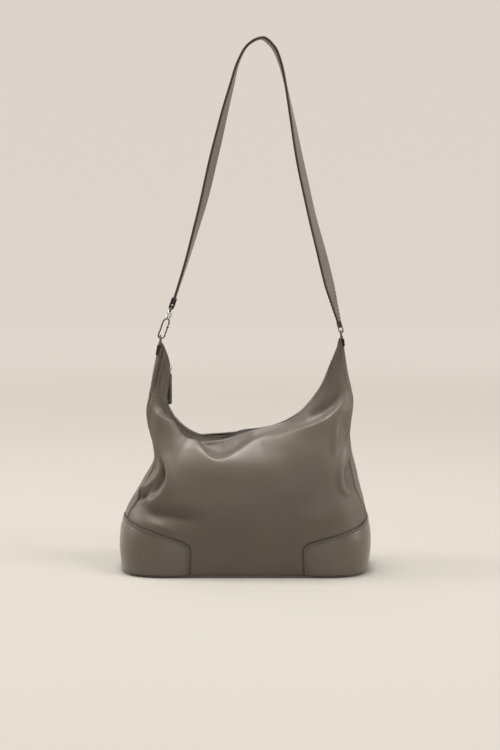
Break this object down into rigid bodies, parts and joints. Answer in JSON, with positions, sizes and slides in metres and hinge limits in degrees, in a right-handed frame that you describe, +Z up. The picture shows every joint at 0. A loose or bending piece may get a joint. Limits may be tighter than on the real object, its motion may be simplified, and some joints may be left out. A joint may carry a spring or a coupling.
{
  "type": "hobo bag",
  "caption": "Slouchy leather shoulder bag with a zipped mouth between two horns, firm corner wraps and a long strap on a snap hook.",
  "frame": {"origin": "centre of the flat base, on the surface that the bag stands on", "axes": "+Z up, +X towards the right-hand horn as seen from the front, the front panel faces -Y"},
  "size_m": [0.3671, 0.1634, 0.7718],
  "materials": {
    "body_leather": "soft semi-matte calf, taupe brown",
    "boot_leather": "firm semi-matte calf, taupe brown",
    "strap_leather": "semi-matte calf with dark painted edges",
    "black_leather": "semi-matte black leather",
    "lining_cloth": "plain woven cotton",
    "zip_tape": "woven zip tape",
    "stiff_board": "pressed fibre board",
    "dark_nickel": "polished dark nickel plate",
    "pale_nickel": "polished nickel plate"
  },
  "bodies": {
    "bag": {"base_panel": "boot_leather", "base_board": "stiff_board", "front_panel": "body_leather", "back_panel": "body_leather", "right_gusset": "body_leather", "left_gusset": "body_leather", "right_boot": "boot_leather", "left_boot": "boot_leather", "lining": "lining_cloth", "slip_pocket": "lining_cloth", "front_zip_teeth": "pale_nickel", "back_zip_teeth": "pale_nickel", "front_zip_tape": "zip_tape", "back_zip_tape": "zip_tape", "front_zip_facing": "body_leather", "back_zip_facing": "body_leather", "zip_left_stop": "pale_nickel", "zip_right_stop": "pale_nickel", "left_horn_tab": "body_leather", "right_horn_tab": "body_leather"},
    "left_ring": {"left_ring": "dark_nickel"},
    "right_ring": {"right_ring": "dark_nickel"},
    "strap": {"strap": "strap_leather", "left_chape": "strap_leather", "right_chape": "strap_leather", "swivel_eye": "pale_nickel"},
    "hook": {"hook_body": "dark_nickel", "hook_gate_pin": "dark_nickel", "swivel_rivet": "pale_nickel"},
    "gate": {"hook_gate": "dark_nickel"},
    "slider": {"zip_slider": "pale_nickel"},
    "pull": {"pull_link": "pale_nickel", "pull_tab": "black_leather"}
  },
  "joints": [
    {"name": "strap_swing", "type": "hinge", "parent": "bag", "child": "strap", "pos_m": [0.1405, 0, 0.343], "axis": [0.9994, 0, 0.0348], "range_deg": [-85, 85]},
    {"name": "left_ring_turn", "type": "hinge", "parent": "bag", "child": "left_ring", "pos_m": [-0.1234, 0, 0.3338], "axis": [0.9994, 0, 0.0348], "continuous": true},
    {"name": "right_ring_turn", "type": "hinge", "parent": "bag", "child": "right_ring", "pos_m": [0.1405, 0, 0.343], "axis": [0.9994, 0, 0.0348], "continuous": true},
    {"name": "hook_swivel", "type": "hinge", "parent": "strap", "child": "hook", "pos_m": [-0.107, 0, 0.385], "axis": [0.3371, 0, 0.9415], "range_deg": [-75, 0]},
    {"name": "gate_open", "type": "hinge", "parent": "hook", "child": "gate", "pos_m": [-0.1132, 0.00424, 0.35509], "axis": [-0.6657, 0.7071, 0.2384], "range_deg": [0, 28], "stiffness_Nm_per_rad": 0.004, "springref_deg": -17.19},
    {"name": "zip_run", "type": "hinge", "parent": "bag", "child": "slider", "pos_m": [-0.042, 0, 0.268], "axis": [0, -1, 0], "range_deg": [0, 138]},
    {"name": "pull_swing", "type": "hinge", "parent": "slider", "child": "pull", "pos_m": [-0.1093, 0, 0.29465], "axis": [0, -1, 0], "range_deg": [0, 150]}
  ]
}
